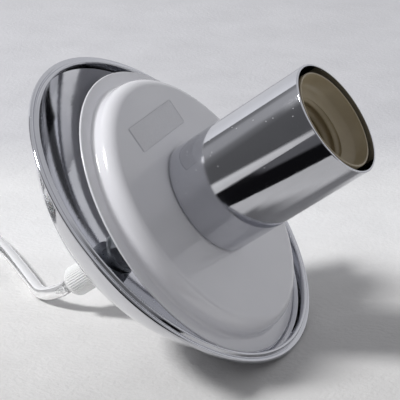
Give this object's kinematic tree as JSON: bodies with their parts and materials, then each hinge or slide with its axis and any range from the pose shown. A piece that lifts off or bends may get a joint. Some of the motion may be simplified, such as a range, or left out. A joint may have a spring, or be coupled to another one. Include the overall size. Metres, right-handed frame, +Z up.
{
  "type": "pendant lamp",
  "caption": "pendant lamp fitting lying on its side: chromed dish and screw-lampholder tube on a white stepped plate, with a clear cord grip and a clear put-away flex",
  "frame": {"origin": "on the surface the lamp lies on, under the middle of the dish and the tube, the free flex left out", "axes": "+Z up, +X the level direction in which the tube's mouth points, +Y to the left of that"},
  "size_m": [0.2602, 0.146, 0.1098],
  "materials": {
    "chrome_plate": "polished chrome plate on deep-drawn steel",
    "white_enamel": "gloss white stove enamel on pressed steel",
    "label_film": "blank clear film label",
    "cream_plastic": "moulded cream phenolic",
    "steatite": "fired steatite",
    "brass": "pressed and turned brass",
    "zinc_steel": "bright zinc on steel",
    "white_plastic": "moulded nylon",
    "clear_plastic": "moulded clear polycarbonate",
    "clear_sheath": "extruded clear vinyl",
    "core_insulation": "thin clear insulation over tinned strands"
  },
  "bodies": {
    "lamp": {"plate": "white_enamel", "blank_label": "label_film", "lamp_tube": "chrome_plate", "holder_skirt": "cream_plastic", "holder_cap": "cream_plastic", "contact_block": "steatite", "contact_pins": "zinc_steel", "live_terminal": "brass", "neutral_terminal": "brass", "terminal_screws": "zinc_steel", "cap_grub_screw": "zinc_steel", "stem": "zinc_steel", "tooth_washer": "zinc_steel", "plate_nut": "zinc_steel", "dish_stop_nut": "zinc_steel", "dish_stop_washer": "zinc_steel", "grip_body": "clear_plastic", "grip_collet": "clear_plastic", "inner_flex": "clear_sheath", "live_core": "core_insulation", "neutral_core": "core_insulation", "flex": "clear_sheath", "flex_coil": "clear_sheath", "flex_tail": "clear_sheath", "coil_ties": "white_plastic", "live_tail_core": "core_insulation", "neutral_tail_core": "core_insulation", "connector_body": "white_plastic", "connector_barrels": "brass", "connector_screws": "zinc_steel"},
    "spin_washer": {"dish_washer": "white_plastic"},
    "dish": {"dish": "chrome_plate"},
    "grip_ring": {"grip_ring": "white_plastic"},
    "grip_nut": {"grip_nut": "clear_plastic"},
    "centre_contact": {"centre_contact": "brass"},
    "side_contact": {"side_contact": "brass"}
  },
  "joints": [
    {"name": "dish_spin", "type": "hinge", "parent": "lamp", "child": "spin_washer", "pos_m": [-0.03832, 0, 0.02587], "axis": [0.7986, 0, 0.6018], "continuous": true},
    {"name": "dish_rock", "type": "hinge", "parent": "spin_washer", "child": "dish", "pos_m": [-0.03832, 0, 0.02587], "axis": [0, 1, 0], "range_deg": [0, 15]},
    {"name": "ring_slide", "type": "slide", "parent": "lamp", "child": "grip_ring", "axis": [-0.7986, 0, -0.6018], "range_m": [0, 0.0015]},
    {"name": "nut_turn", "type": "hinge", "parent": "grip_ring", "child": "grip_nut", "pos_m": [-0.05269, 0, 0.01503], "axis": [0.7986, 0, 0.6018], "range_deg": [0, 360]},
    {"name": "centre_leaf", "type": "hinge", "parent": "lamp", "child": "centre_contact", "pos_m": [0.02295, 0, 0.08331], "axis": [0, 1, 0], "range_deg": [0, 7], "stiffness_Nm_per_rad": 0.25},
    {"name": "side_leaf", "type": "hinge", "parent": "lamp", "child": "side_contact", "pos_m": [0.03524, 0, 0.06301], "axis": [0, 1, 0], "range_deg": [0, 3], "stiffness_Nm_per_rad": 0.25}
  ],
  "couplings": [
    {"joint": "nut_turn", "follows": "ring_slide", "rad_per_m": 4188.7}
  ]
}
